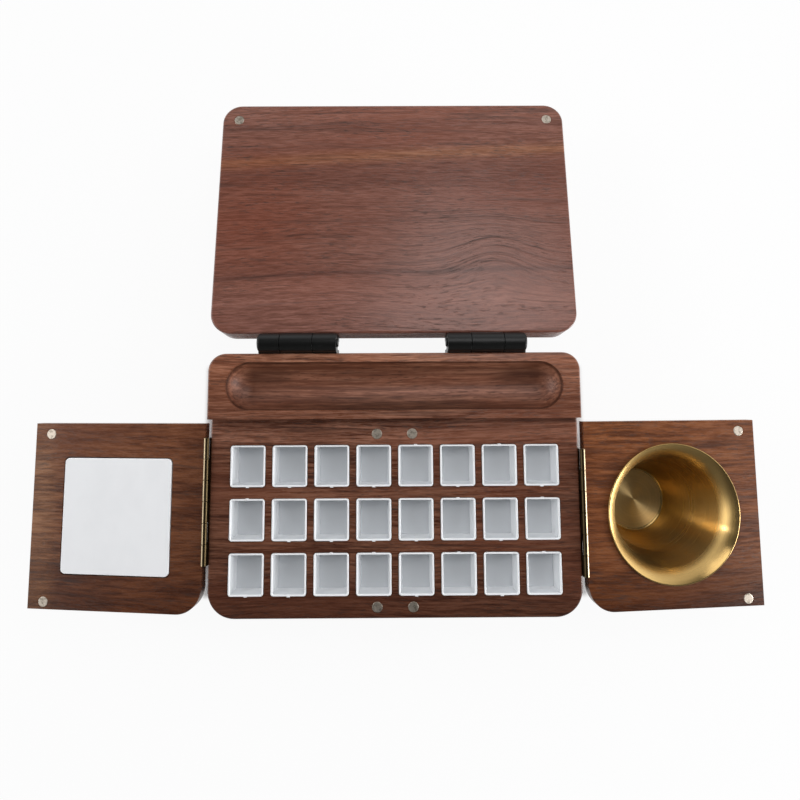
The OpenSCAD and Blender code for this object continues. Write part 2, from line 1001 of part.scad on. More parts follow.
base();
lid();
left_wing();
right_wing();
mixing_plate();
cup();
deck_magnets();
lid_magnets();
left_wing_magnets();
right_wing_magnets();
left_wing_catch_magnet();
right_wing_catch_magnet();
left_lid_hinge_base_leaf();
left_lid_hinge_lid_leaf();
left_lid_hinge_pin();
right_lid_hinge_base_leaf();
right_lid_hinge_lid_leaf();
right_lid_hinge_pin();
lid_hinge_base_screws();
lid_hinge_lid_screws();
left_wing_hinge_base_leaf();
left_wing_hinge_wing_leaf();
left_wing_hinge_pin();
right_wing_hinge_base_leaf();
right_wing_hinge_wing_leaf();
right_wing_hinge_pin();
left_wing_hinge_base_screws();
left_wing_hinge_wing_screws();
right_wing_hinge_base_screws();
right_wing_hinge_wing_screws();
for (i = [1:len(PANS)]) pan(i);
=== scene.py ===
"""Looks of an open walnut watercolour palette box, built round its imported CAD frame."""

import json
import logging
import math
from dataclasses import dataclass
from enum import Enum
from typing import Dict, List, Optional, Sequence, Tuple, Union

import bmesh
import bpy
from bmesh.types import BMEdge, BMesh, BMVert
from bpy.types import ID, ColorRamp, Material, Node, NodeSocket, Object, World
from mathutils import Matrix, Vector


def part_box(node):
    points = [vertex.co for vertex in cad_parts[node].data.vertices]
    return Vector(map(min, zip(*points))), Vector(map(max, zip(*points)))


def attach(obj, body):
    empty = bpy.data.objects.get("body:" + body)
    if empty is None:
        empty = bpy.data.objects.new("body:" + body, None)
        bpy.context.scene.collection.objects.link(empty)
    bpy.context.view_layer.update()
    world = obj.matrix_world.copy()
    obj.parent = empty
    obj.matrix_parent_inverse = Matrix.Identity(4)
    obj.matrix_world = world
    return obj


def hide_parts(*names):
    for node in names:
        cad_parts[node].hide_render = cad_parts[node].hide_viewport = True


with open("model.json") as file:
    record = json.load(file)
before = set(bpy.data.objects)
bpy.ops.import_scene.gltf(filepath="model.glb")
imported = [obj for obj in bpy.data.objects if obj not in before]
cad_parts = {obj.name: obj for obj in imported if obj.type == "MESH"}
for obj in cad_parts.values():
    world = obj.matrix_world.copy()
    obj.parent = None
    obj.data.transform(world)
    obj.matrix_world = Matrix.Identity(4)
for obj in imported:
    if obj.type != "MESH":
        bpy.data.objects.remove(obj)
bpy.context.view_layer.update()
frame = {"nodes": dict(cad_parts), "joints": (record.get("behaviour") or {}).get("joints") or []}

logging.basicConfig(level=logging.INFO, format="%(message)s")
LOG = logging.getLogger("palette_box")

MM = 0.001
WELD = 2e-6  # Vertices of a CAD mesh that are nearer than this are one.
FLAT_TURN = 0.6  # Degrees under which two faces of a CAD mesh are one.
EASED_TURN = 28.0  # Degrees over which a CAD edge is eased.
DISC_TURN = 60.0  # Degrees over which a disc's edge is rounded.
EDGE_SEGMENTS = 3  # Faces across an eased edge.

Colour = Tuple[float, float, float]
Point = Tuple[float, float, float]
Pair = Tuple[float, float]
Stops = Tuple[Tuple[float, Colour], ...]
Value = Union["Sock", float]
Place = Tuple["Sock", "Sock", "Sock"]


class Slot(Enum):
    """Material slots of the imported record."""

    BLOCK = "walnut_base"
    LID = "walnut_lid"
    WING = "walnut_wing"
    PLATE = "white_plate"
    PAN = "white_pan"
    CUP = "brass_cup"
    HINGE = "brass_hinge"
    MAGNET = "nickel"
    BLACK = "black_metal"


class Side(Enum):
    """The two sides of the box, as seen from its front."""

    LEFT = "left"
    RIGHT = "right"


class Sock:
    """A shader value that takes part in Python arithmetic."""

    def __init__(self, graph: "Graph", socket: NodeSocket) -> None:
        """Wraps one output socket of a graph."""
        self.graph = graph
        self.socket = socket

    def _math(self, operation: str, first: Value, second: Value = 0.0) -> "Sock":
        """Adds one Math node to the graph."""
        node = self.graph.node("ShaderNodeMath", {"operation": operation}, {0: first, 1: second})
        return Sock(self.graph, node.outputs[0])

    def __add__(self, other: Value) -> "Sock":
        """Sum."""
        return self._math("ADD", self, other)

    __radd__ = __add__

    def __sub__(self, other: Value) -> "Sock":
        """Difference."""
        return self._math("SUBTRACT", self, other)

    def __rsub__(self, other: Value) -> "Sock":
        """Difference, with this value taken off the other."""
        return self._math("SUBTRACT", other, self)

    def __mul__(self, other: Value) -> "Sock":
        """Product."""
        return self._math("MULTIPLY", self, other)

    def __truediv__(self, other: Value) -> "Sock":
        """Quotient."""
        return self._math("DIVIDE", self, other)

    def __pow__(self, other: Value) -> "Sock":
        """Power."""
        return self._math("POWER", self, other)

    def absolute(self) -> "Sock":
        """The value without its sign."""
        return self._math("ABSOLUTE", self)

    def root(self) -> "Sock":
        """The square root."""
        return self._math("SQRT", self)

    def bell(self, width: float) -> "Sock":
        """A soft hump of height 1 where the value is 0, falling to nothing at about two widths.

        Args:
            width: Distance at which the hump is down to a third.

        Returns:
            The hump.
        """
        return self._math("EXPONENT", (self / width) ** 2.0 * -1.0)

    def step(self, low: float, high: float) -> "Sock":
        """A smooth step from 0 at low to 1 at high.

        Args:
            low: Value at which the step starts.
            high: Value at which it ends.

        Returns:
            The step, between 0 and 1.
        """
        node = self.graph.node(
            "ShaderNodeMapRange",
            {"interpolation_type": "SMOOTHSTEP"},
            {"Value": self, "From Min": low, "From Max": high},
        )
        return Sock(self.graph, node.outputs["Result"])


class Graph:
    """The node graph of one material or of the world."""

    def __init__(self, name: str, world: bool = False) -> None:
        """Starts an empty graph.

        Args:
            name: Name of the material or world.
            world: Whether the graph is a world's.
        """
        self.owner = bpy.data.worlds.new(name) if world else bpy.data.materials.new(name)
        self.owner.use_nodes = True
        self.tree = self.owner.node_tree
        self.tree.nodes.clear()
        self.output = self.node("ShaderNodeOutputWorld" if world else "ShaderNodeOutputMaterial")

    def node(
        self,
        kind: str,
        settings: Optional[Dict[str, object]] = None,
        inputs: Optional[Dict[Union[str, int], object]] = None,
    ) -> Node:
        """Adds any node.

        Args:
            kind: Blender's type of the node.
            settings: Properties set first; stops holds a colour ramp's stops.
            inputs: Values or links of the node's sockets.

        Returns:
            The node.
        """
        node = self.tree.nodes.new(kind)
        for key, value in (settings or {}).items():
            if key == "stops":
                self._set_stops(node.color_ramp, value)
            else:
                setattr(node, key, value)
        for key, value in (inputs or {}).items():
            target = node.inputs[key]
            if isinstance(value, Sock):
                self.tree.links.new(value.socket, target)
            elif isinstance(value, NodeSocket):
                self.tree.links.new(value, target)
            else:
                target.default_value = value
        return node

    @staticmethod
    def _set_stops(ramp: ColorRamp, stops: Stops) -> None:
        """Gives a colour ramp its stops."""
        while len(ramp.elements) < len(stops):
            ramp.elements.new(0.5)
        for element, (place, colour) in zip(ramp.elements, stops):
            element.position = place
            element.color = (*colour, 1.0)

    def axes(self, kind: str = "Object") -> Place:
        """The three coordinates of a place in metres, or of the direction of a world's ray."""
        place = self.node("ShaderNodeTexCoord").outputs[kind]
        parts = self.node("ShaderNodeSeparateXYZ", inputs={0: place})
        return tuple(Sock(self, parts.outputs[i]) for i in range(3))

    def vector(self, x: Value, y: Value, z: Value) -> Sock:
        """A vector made from three values."""
        node = self.node("ShaderNodeCombineXYZ", inputs={0: x, 1: y, 2: z})
        return Sock(self, node.outputs[0])

    def noise(self, at: Sock, detail: float, rough: float) -> Sock:
        """Soft noise between 0 and 1.

        Args:
            at: Vector that is already scaled to the noise's own size.
            detail: Number of finer layers.
            rough: Strength of the finer layers.

        Returns:
            The noise.
        """
        inputs = {"Vector": at, "Scale": 1.0, "Detail": detail, "Roughness": rough}
        return Sock(self, self.node("ShaderNodeTexNoise", None, inputs).outputs[0])

    def ramp(self, value: Sock, stops: Stops) -> Sock:
        """A colour read from a ramp."""
        node = self.node("ShaderNodeValToRGB", {"stops": stops}, {0: value})
        return Sock(self, node.outputs[0])

    def mix(self, factor: Value, first: object, second: object, blend: str = "MIX") -> Sock:
        """Mixes two colours.

        Args:
            factor: Share of the second colour.
            first: Colour or link.
            second: Colour or link.
            blend: Way of mixing.

        Returns:
            The mixed colour.
        """
        ends = [c if isinstance(c, Sock) else (*c, 1.0) for c in (first, second)]
        settings = {"data_type": "RGBA", "blend_type": blend}
        node = self.node("ShaderNodeMix", settings, {0: factor, 6: ends[0], 7: ends[1]})
        return Sock(self, node.outputs[2])

    def bump(self, height: Sock, bump: Pair) -> Sock:
        """Returns a normal bent by a height; bump holds its strength and its depth in metres."""
        inputs = {"Height": height, "Strength": bump[0], "Distance": bump[1]}
        return Sock(self, self.node("ShaderNodeBump", None, inputs).outputs[0])

    def finish(self, **sockets: object) -> Material:
        """Ends the material in one Principled shader.

        Args:
            sockets: Values or links, named with _ for the spaces in the sockets' names.

        Returns:
            The finished material.
        """
        inputs = {key.replace("_", " "): value for key, value in sockets.items()}
        return self.end(self.node("ShaderNodeBsdfPrincipled", None, inputs))

    def end(self, shader: Node) -> Union[Material, World]:
        """Ends the graph in any shader, and returns the material or world."""
        self.tree.links.new(shader.outputs[0], self.output.inputs[0])
        return self.owner


@dataclass(frozen=True)
class Grain:
    """Noise with its own fineness along each axis, in waves per metre."""

    x: float
    y: float
    z: float
    detail: float = 2.0
    rough: float = 0.5
    edges: Optional[Pair] = None

    def read(self, at: Place, shift: Tuple[Value, Value, Value] = (0.0, 0.0, 0.0)) -> Sock:
        """Reads the noise at a place.

        Args:
            at: The place.
            shift: What is added along each axis, in waves.

        Returns:
            The noise between 0 and 1, or a smooth step between its edges if it has them.
        """
        scaled = [axis * fine for axis, fine in zip(at, (self.x, self.y, self.z))]
        moved = [value + start if start else value for value, start in zip(scaled, shift)]
        graph = at[0].graph
        noise = graph.noise(graph.vector(*moved), self.detail, self.rough)
        return noise.step(*self.edges) if self.edges else noise


@dataclass(frozen=True)
class Streak:
    """A band along the grain that is lighter, darker or redder than the wood beside it: wood tone,
    and in places painted shade and sheen.
    """

    y: float
    width: float
    slope: float
    tint: Colour

    def share(self, x: Sock, y: Sock, wave: Sock) -> Sock:
        """How far a place belongs to the band.

        Args:
            x: Place along the grain.
            y: Place across it.
            wave: Sway of the band's line.

        Returns:
            The share, between 0 and 1.
        """
        return (y - self.y - (x * self.slope) + wave).bell(self.width)


@dataclass(frozen=True)
class Patch:
    """A soft oval place that is lighter, darker or redder than the wood round it: wood tone, and in
    places painted shade and sheen.
    """

    x: float
    y: float
    half_length: float
    half_width: float
    tint: Colour

    def share(self, x: Sock, y: Sock) -> Sock:
        """How far a place belongs to the oval.

        Args:
            x: Place along the grain.
            y: Place across it.

        Returns:
            The share, between 0 and 1.
        """
        along = ((x - self.x) / self.half_length) ** 2.0
        return (along + ((y - self.y) / self.half_width) ** 2.0).bell(1.0)


@dataclass(frozen=True)
class Arch:
    """A place where a growth line and the ones below it rise over a hidden knot."""

    x: float
    y: float
    half_width: float
    height: float
    fade: float = 2.5
    reach: float = 1.9
    sway: float = 0.3
    unbroken: float = 0.5
    line: float = 0.45 * MM
    lines_below: Tuple[Pair, ...] = (
        (0.0, 0.75),
        (4.2 * MM, 0.45),
        (7.8 * MM, 0.50),
        (12.0 * MM, 0.35),
    )

    def crown(self, x: Sock) -> Sock:
        """How far the growth lines rise at a place along the grain."""
        return (x - self.x).bell(self.half_width) * self.height

    def marks(self, x: Sock, y: Sock, wave: Sock, broken: Sock) -> Sock:
        """The dark growth lines over the knot.

        Args:
            x: Place along the grain.
            y: Place across it.
            wave: Sway of the wood's lines.
            broken: Where the wood's fine lines are whole.

        Returns:
            The strength of the lines.
        """
        near = (x - self.x).bell(self.half_width * self.reach)
        whole = broken * (1.0 - self.unbroken) + self.unbroken
        rise = y - self.crown(x) + wave * self.sway
        lines = [(rise - (self.y - low)).bell(self.line) * depth for low, depth in self.lines_below]
        return sum(lines[1:], lines[0]) * near * whole


@dataclass(frozen=True)
class Hollow:
    """A carved trough with round ends: its wood is duller than smoothed faces, and painted shade
    darkens its rim.
    """

    y: float
    half_run: float
    radius: float
    low: float
    soft: float = 0.4 * MM
    dulling: float = 0.17
    # Width and colour of the painted shade along the rim.
    rim_shade_width: float = 0.38 * MM
    rim_shade_tint: Colour = (0.36, 0.33, 0.31)

    def masks(self, x: Sock, y: Sock, z: Sock) -> Tuple[Sock, Sock]:
        """Where the trough and its rim are.

        Args:
            x: Place along the trough.
            y: Place across it.
            z: Height.

        Returns:
            The share of the trough and the share of the painted shade along its rim.
        """
        past_end = x.absolute() - self.half_run
        past_end = (past_end + past_end.absolute()) * 0.5
        aside = y - self.y
        off = (past_end * past_end + aside * aside).root() - self.radius
        above = z.step(self.low, self.low + self.soft)
        trough = 1.0 - off.step(-self.soft, 0.0)
        return trough * above, (off + self.rim_shade_width).bell(self.rim_shade_width) * above


@dataclass(frozen=True)
class Walnut:
    """Oiled walnut with its grain along X; some of its streaks, patches and hollows paint shade and
    sheen.
    """

    name: str
    seed: float
    dark: Colour
    middle: Colour
    light: Colour
    red: Colour
    rings: float
    lines: float
    fibre: float
    pores: float = 0.55
    hairs: float = 0.40
    hair_width: float = 0.022
    pore: Colour = (0.020, 0.008, 0.005)
    red_share: float = 0.40
    tone_stops: Point = (0.20, 0.50, 0.80)
    streaks: Tuple[Streak, ...] = ()
    streak_lines: Pair = (0.65, 0.70)
    patches: Tuple[Patch, ...] = ()
    arches: Tuple[Arch, ...] = ()
    hollows: Tuple[Hollow, ...] = ()
    roughness: float = 0.27
    fibre_rough: float = 0.20
    mark_rough: float = 0.22
    fibre_relief: float = 0.5
    specular: float = 0.38
    bump: Pair = (0.50, 0.12 * MM)
    ring_drift: float = 10.0 * MM
    streak_drift: float = 6.0 * MM
    drift_grain: Grain = Grain(8.0, 15.0, 15.0)
    ring_grain: Grain = Grain(3.0, 115.0, 70.0, 2.0, 0.55)
    line_grain: Grain = Grain(22.0, 620.0, 430.0, 3.0, 0.65)
    fibre_grain: Grain = Grain(130.0, 1400.0, 1300.0, 2.0, 0.6)
    blush_grain: Grain = Grain(12.0, 34.0, 20.0, 1.0, edges=(0.40, 0.66))
    hair_grain: Grain = Grain(4.0, 210.0, 140.0, 1.0)
    broken_grain: Grain = Grain(26.0, 300.0, 150.0, 2.0, edges=(0.42, 0.62))
    pore_grain: Grain = Grain(230.0, 1350.0, 1300.0, 1.0, edges=(0.55, 0.70))
    crowd_grain: Grain = Grain(24.0, 130.0, 90.0, 1.0, edges=(0.28, 0.66))

    def material(self) -> Material:
        """Returns the wood as a material."""
        g = Graph(self.name)
        x, y, z = g.axes()
        drift = self.drift_grain.read((x, y, z), (self.seed, 0.0, 0.0)) - 0.5
        wave = drift * self.streak_drift
        ring_y = y + drift * self.ring_drift
        for arch in self.arches:
            ring_y = ring_y - arch.crown(x) * (y - arch.y).bell(arch.height * arch.fade)
        grown = (x, ring_y, z)
        lines = self.line_grain.read(grown, (-self.seed, 0.0, 0.0))
        fibre = self.fibre_grain.read(grown, (0.0, self.seed, 0.0))
        tone = (self.ring_grain.read(grown, (self.seed, 0.0, 0.0)) - 0.5) * self.rings
        tone = tone + (lines - 0.5) * self.lines + (fibre - 0.5) * self.fibre
        shades = (self.dark, self.middle, self.light)
        colour = g.ramp(tone + 0.5, tuple(zip(self.tone_stops, shades)))
        blush = self.blush_grain.read((x, y, z), (4.0 * self.seed, 0.0, 0.0))
        colour = g.mix(blush * self.red_share, colour, self.red)
        for patch in self.patches:
            colour = g.mix(patch.share(x, y), colour, patch.tint, "MULTIPLY")
        least, by_lines = self.streak_lines
        for streak in self.streaks:
            band = streak.share(x, y, wave) * (lines * by_lines + least)
            colour = g.mix(band, colour, streak.tint, "MULTIPLY")
        marks = self._marks(x, y, wave, grown)
        colour = g.mix(marks, colour, self.pore)
        roughness = self.roughness + (fibre - 0.5) * self.fibre_rough + marks * self.mark_rough
        for hollow in self.hollows:
            trough, rim = hollow.masks(x, y, z)
            roughness = roughness + trough * hollow.dulling
            # Painted shade along the trough's rim.
            colour = g.mix(rim, colour, hollow.rim_shade_tint, "MULTIPLY")
        return g.finish(
            Base_Color=colour,
            Roughness=roughness,
            Normal=g.bump(fibre * self.fibre_relief - marks, self.bump),
            Specular_IOR_Level=self.specular,
        )

    def _marks(self, x: Sock, y: Sock, wave: Sock, grown: Place) -> Sock:
        """The dark hairlines, pores and arches of the wood.

        Args:
            x: Place along the grain.
            y: Place across it.
            wave: Sway of the wood's lines.
            grown: Place among the growth rings.

        Returns:
            The strength of the marks.
        """
        hair = (self.hair_grain.read(grown, (self.seed, 0.0, 0.0)) - 0.5).bell(self.hair_width)
        broken = self.broken_grain.read(grown, (0.0, -self.seed, 0.0))
        dash = self.pore_grain.read(grown, (0.0, 0.0, self.seed))
        crowd = self.crowd_grain.read(grown, (self.seed, 0.0, 0.0))
        marks = hair * broken * self.hairs + dash * crowd * self.pores
        for arch in self.arches:
            marks = marks + arch.marks(x, y, wave, broken)
        return marks


@dataclass(frozen=True)
class Brass:
    """Brass with fine turning or drawing lines, which spread a reflection across themselves."""

    name: str
    colour: Colour
    dull: Colour
    centre: Point = (0.0, 0.0, 0.0)
    turned: bool = True
    rise: float = 0.35
    line_pitch: float = 0.6 * MM
    line_grain: Grain = Grain(1.0, 9.0, 9.0, 4.0, 0.65)
    cloud_grain: Grain = Grain(45.0, 45.0, 45.0)
    cloud_edges: Pair = (0.30, 0.75)
    cloud_share: float = 0.30
    line_share: float = 0.45
    roughness: float = 0.46
    line_rough: float = 0.16
    cloud_rough: float = 0.05
    bump: Pair = (0.12, 0.04 * MM)
    anisotropy: float = 0.90
    across: float = 0.25
    # Painted shade: metal nearer the middle than this is darkened.
    painted_shade_x: float = 0.0
    painted_shade_edge: float = 0.4 * MM
    painted_shade_wander: float = 0.2 * MM
    painted_shade_colour: Colour = (0.055, 0.039, 0.019)

    def material(self) -> Material:
        """Builds the metal; nearer to the box's middle plane than a set distance, it is painted
        darker, as painted shade on the hinge's side that faces the dark block.

        Returns:
            The material.
        """
        g = Graph(self.name)
        x, y, z = g.axes()
        along = z
        if self.turned:
            off_x, off_y = x - self.centre[0], y - self.centre[1]
            along = (off_x * off_x + off_y * off_y).root() + z * self.rise
        fine = self.line_grain.read((along / self.line_pitch, x, y))
        cloud = self.cloud_grain.read((x, y, z))
        shade = cloud.step(*self.cloud_edges) * self.cloud_share + fine * self.line_share
        colour = g.mix(shade, self.colour, self.dull)
        # Painted shade on the hinges' inner sides, towards the block.
        if self.painted_shade_x:
            off = x.absolute() + (fine - 0.5) * self.painted_shade_wander
            inward = 1.0 - off.step(self.painted_shade_x, self.painted_shade_x + self.painted_shade_edge)
            colour = g.mix(inward, colour, self.painted_shade_colour)
        unevenness = (fine - 0.5) * self.line_rough + (cloud - 0.5) * self.cloud_rough
        return g.finish(
            Base_Color=colour,
            Metallic=1.0,
            Roughness=self.roughness + unevenness,
            Normal=g.bump(fine, self.bump),
            Anisotropic=self.anisotropy,
            Anisotropic_Rotation=self.across,
        )


@dataclass(frozen=True)
class BlackMetal:
    """Satin black paint over metal, rubbed a little."""

    name: str
    colour: Colour = (0.0022, 0.0023, 0.0020)
    rubbed: Colour = (0.007, 0.007, 0.007)
    rub_share: float = 0.5
    roughness: float = 0.32
    grain_rough: float = 0.10
    rub_rough: float = 0.10
    specular: float = 0.3
    bump: Pair = (0.10, 0.05 * MM)
    paint_grain: Grain = Grain(2600.0, 2600.0, 2600.0)
    rub_grain: Grain = Grain(160.0, 420.0, 420.0, 3.0, 0.6, edges=(0.58, 0.80))

    def material(self) -> Material:
        """Returns the paint as a material."""
        g = Graph(self.name)
        place = g.axes()
        grain = self.paint_grain.read(place)
        rub = self.rub_grain.read(place)
        return g.finish(
            Base_Color=g.mix(rub * self.rub_share, self.colour, self.rubbed),
            Roughness=self.roughness + grain * self.grain_rough + rub * self.rub_rough,
            Normal=g.bump(grain, self.bump),
            Specular_IOR_Level=self.specular,
        )


@dataclass(frozen=True)
class Nickel:
    """Plated disc magnets with handling scratches."""

    name: str
    colour: Colour = (0.70, 0.61, 0.51)
    dull: Colour = (0.20, 0.165, 0.12)
    dull_share: float = 0.70
    roughness: float = 0.30
    cloud_rough: float = 0.16
    scratch_rough: float = 0.12
    scratch_relief: float = 0.3
    bump: Pair = (0.12, 0.06 * MM)
    cloud_edges: Pair = (0.44, 0.66)
    cloud_grain: Grain = Grain(620.0, 620.0, 620.0, 3.0, 0.65)
    scratch_slant: float = 900.0
    scratch_grain: Grain = Grain(2400.0, 260.0, 300.0, edges=(0.60, 0.72))

    def material(self) -> Material:
        """Returns the plating as a material."""
        g = Graph(self.name)
        x, y, z = g.axes()
        cloud = self.cloud_grain.read((x, y, z))
        scratch = self.scratch_grain.read((x, y, z), (y * self.scratch_slant, 0.0, 0.0))
        dulled = cloud.step(*self.cloud_edges) * self.dull_share
        return g.finish(
            Base_Color=g.mix(dulled, self.colour, self.dull),
            Metallic=1.0,
            Roughness=self.roughness + cloud * self.cloud_rough + scratch * self.scratch_rough,
            Normal=g.bump(cloud + scratch * self.scratch_relief, self.bump),
        )


@dataclass(frozen=True)
class Moulded:
    """Smooth white plastic whose colour follows its height between two levels; in the pans this is
    painted shade on the floors and under the rims.
    """

    name: str
    levels: Stops
    heights: Pair
    roughness: float = 0.36
    coat: float = 0.0
    flow_tint: Colour = (0.45, 0.46, 0.48)
    flow_share: float = 0.06
    flow_edges: Pair = (0.35, 0.75)
    flow_rough: float = 0.12
    bump: Pair = (0.05, 0.04 * MM)
    flow_grain: Grain = Grain(90.0, 60.0, 90.0, 3.0)
    skin_grain: Grain = Grain(3000.0, 3000.0, 3000.0, 1.0)

    def material(self) -> Material:
        """Returns the plastic as a material."""
        g = Graph(self.name)
        x, y, z = g.axes()
        flow = self.flow_grain.read((x, y, z))
        low, high = self.heights
        # Colour by height: in the pans, painted shade.
        colour = g.ramp((z - low) / (high - low), self.levels)
        clouded = flow.step(*self.flow_edges) * self.flow_share
        return g.finish(
            Base_Color=g.mix(clouded, colour, self.flow_tint),
            Roughness=self.roughness + (flow - 0.5) * self.flow_rough,
            Normal=g.bump(self.skin_grain.read((x, y, z)), self.bump),
            Coat_Weight=self.coat,
        )


def add_object(name: str, data: ID) -> Object:
    """Adds an object with its data to the scene."""
    added = bpy.data.objects.new(name, data)
    bpy.context.scene.collection.objects.link(added)
    return added


def link_mesh(bm: BMesh, name: str) -> Object:
    """Makes an object at the origin from a finished bmesh.

    Args:
        bm: The mesh; it is freed.
        name: Name of the object and its mesh.

    Returns:
        The object.
    """
    mesh = bpy.data.meshes.new(name)
    for face in bm.faces:
        face.smooth = True
    bm.to_mesh(mesh)
    bm.free()
    piece = add_object(name, mesh)
    even = piece.modifiers.new("even_normals", "WEIGHTED_NORMAL")
    even.keep_sharp = True
    return piece


def soften(bm: BMesh, edges: List[BMEdge], width: float, segments: int) -> None:
    """Rounds a set of edges.

    Args:
        bm: The mesh.
        edges: Edges to round.
        width: Width of the rounding, in metres.
        segments: Faces across the rounding.
    """
    bmesh.ops.bevel(
        bm,
        geom=edges,
        offset=width,
        offset_type="OFFSET",
        segments=segments,
        profile=0.5,
        affect="EDGES",
        clamp_overlap=True,
        material=-1,
    )


def sharp_edges(bm: BMesh, degrees: float) -> List[BMEdge]:
    """Edges that turn by more than an angle.

    Args:
        bm: The mesh.
        degrees: Smallest turn.

    Returns:
        The edges.
    """
    limit = math.radians(degrees)
    return [e for e in bm.edges if e.is_manifold and e.calc_face_angle(0.0) > limit]


def node_mesh(node: str) -> BMesh:
    """A welded copy of a CAD node's mesh, for the caller to free."""
    bm = bmesh.new()
    bm.from_mesh(frame["nodes"][node].data)
    bmesh.ops.remove_doubles(bm, verts=bm.verts[:], dist=WELD)
    return bm


def eased_copy(node: str, name: str, width: float, segments: int = EDGE_SEGMENTS) -> Object:
    """A copy of a CAD node with its sharp edges eased.

    Args:
        node: Name of the CAD node.
        name: Name of the new piece.
        width: Width of the easing, in metres.
        segments: Faces across the easing.

    Returns:
        The piece.
    """
    bm = node_mesh(node)
    bmesh.ops.dissolve_limit(
        bm,
        angle_limit=math.radians(FLAT_TURN),
        use_dissolve_boundaries=False,
        verts=bm.verts[:],
        edges=bm.edges[:],
    )
    soften(bm, sharp_edges(bm, EASED_TURN), width, segments)
    return link_mesh(bm, name)


def disc(bm: BMesh, radius: float, thick: float, sides: int, place: Matrix) -> None:
    """Adds a flat disc to a mesh.

    Args:
        bm: The mesh.
        radius: Radius of the disc.
        thick: Its thickness.
        sides: Faces round it.
        place: Frame of its middle, with Z along its axis.
    """
    shape = {"radius1": radius, "radius2": radius, "depth": thick, "matrix": place}
    bmesh.ops.create_cone(bm, cap_ends=True, segments=sides, **shape)


def islands(bm: BMesh) -> List[List[BMVert]]:
    """The separate bodies of a mesh, in the same order each run.

    Args:
        bm: The mesh.

    Returns:
        The vertices of each body.
    """
    seen, bodies = set(), []
    for start in bm.verts:
        if start in seen:
            continue
        seen.add(start)
        body = [start]
        for vert in body:
            near = [e.other_vert(vert) for e in vert.link_edges]
            fresh = [v for v in near if v not in seen]
            seen.update(fresh)
            body.extend(fresh)
        bodies.append(body)
    return bodies


def round_discs(node: str, name: str, width: float, sides: int) -> Object:
    """Smooth discs with rounded edges in the places of a CAD node's discs.

    Args:
        node: Name of the CAD node.
        name: Name of the new piece.
        width: Width of the edge's rounding, in metres.
        sides: Faces round each disc.

    Returns:
        The piece.
    """
    source, bm = node_mesh(node), bmesh.new()
    for verts in islands(source):
        middle = sum((v.co for v in verts), Vector()) / len(verts)
        axis = max((f for v in verts for f in v.link_faces), key=lambda f: f.calc_area()).normal
        arms = [v.co - middle for v in verts]
        thick = 2 * max(arm.dot(axis) for arm in arms)
        radius = max((arm - axis * arm.dot(axis)).length for arm in arms)
        place = Matrix.Translation(middle) @ axis.to_track_quat("Z", "Y").to_matrix().to_4x4()
        disc(bm, radius, thick, sides, place)
    source.free()
    soften(bm, sharp_edges(bm, DISC_TURN), width, EDGE_SEGMENTS)
    return link_mesh(bm, name)


def dress(
    piece: Object, material: Material, body: str, nodes: Sequence[str]
) -> None:
    """Gives a piece its finish and its place among the bodies.

    Args:
        piece: The piece.
        material: Its finish.
        body: CAD body that it rides on.
        nodes: CAD nodes that it stands for.
    """
    piece.data.materials.clear()
    piece.data.materials.append(material)
    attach(piece, body)
    if nodes:
        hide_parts(*nodes)
    LOG.info("%s on %s: %d faces", piece.name, body, len(piece.data.polygons))


